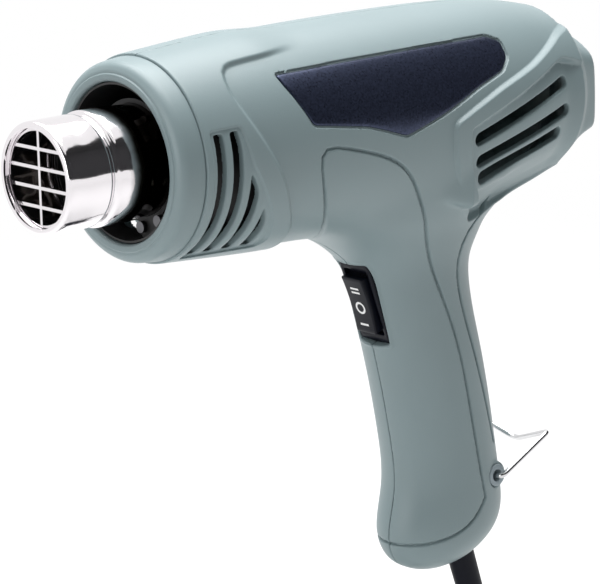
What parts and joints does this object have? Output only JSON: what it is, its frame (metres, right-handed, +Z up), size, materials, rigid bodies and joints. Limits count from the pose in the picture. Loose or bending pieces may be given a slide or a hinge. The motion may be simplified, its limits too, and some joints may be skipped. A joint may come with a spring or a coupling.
{
  "type": "hot-air gun",
  "caption": "Pistol-grip hot-air gun for embossing and craft work, with a bright outlet tube and grille, vented two-part housing, rocker switch, wire hanging bail and mains cord.",
  "frame": {"origin": "middle of the grip, on the plane of the housing seam, 100 mm below the barrel's axis", "axes": "-X is the way the air leaves, +Z is up with the barrel level, -Y is the user's left"},
  "size_m": [0.2293, 0.1527, 0.3048],
  "materials": {
    "housing": "fine satin, grey-green",
    "shield": "black heat-proof paint",
    "chrome": "bright plated steel",
    "steel": "bright zinc",
    "mica": "mica sheet",
    "ceramic": "unglazed ceramic",
    "heater_wire": "resistance wire",
    "duct": "moulded black",
    "motor_steel": "plated can",
    "fan": "natural nylon",
    "board": "coated laminate",
    "black_parts": "moulded black",
    "switch": "moulded black",
    "brass": "stamped",
    "badge": "glossy black panel, bare",
    "rubber": "moulded rubber",
    "cord": "rubber-sheathed cord",
    "pin_brass": "nickel-plated"
  },
  "bodies": {
    "gun": {"housing_left": "housing", "housing_right": "housing", "nose_ring": "housing", "heat_shield": "shield", "outlet_tube": "chrome", "outlet_grille": "chrome", "tube_spider": "steel", "spider_screws": "steel", "heater_liner": "mica", "heater_base": "ceramic", "heater_former": "mica", "heater_coil": "heater_wire", "thermal_cutout": "steel", "fan_duct": "duct", "motor_can": "motor_steel", "motor_screws": "steel", "motor_board": "board", "board_parts": "black_parts", "switch_body": "switch", "switch_blades": "brass", "bail_bush_left": "black_parts", "bail_bush_right": "black_parts", "badge_left": "badge", "badge_right": "badge", "housing_screws": "steel", "cord_clamp": "duct", "clamp_screws": "steel", "cord_sleeve": "rubber", "cord_inner": "cord", "cord_lead": "cord", "cord_coil": "cord", "cord_end": "cord", "cord_tie": "black_parts", "plug_body": "rubber", "plug_pins": "pin_brass"},
    "rotor": {"motor_shaft": "steel", "fan": "fan"},
    "rocker": {"switch_rocker": "switch"},
    "bail": {"hanging_bail": "steel"}
  },
  "joints": [
    {"name": "fan_spin", "type": "hinge", "parent": "gun", "child": "rotor", "pos_m": [-0.0395, 0, 0.1], "axis": [1, 0, 0], "continuous": true},
    {"name": "rocker_tilt", "type": "hinge", "parent": "gun", "child": "rocker", "pos_m": [-0.02688, 0, 0.03727], "axis": [0, 1, 0], "range_deg": [-12, 12]},
    {"name": "bail_swing", "type": "hinge", "parent": "gun", "child": "bail", "pos_m": [0.01531, 0, -0.0311], "axis": [0, 1, 0], "range_deg": [-57, 80]}
  ]
}
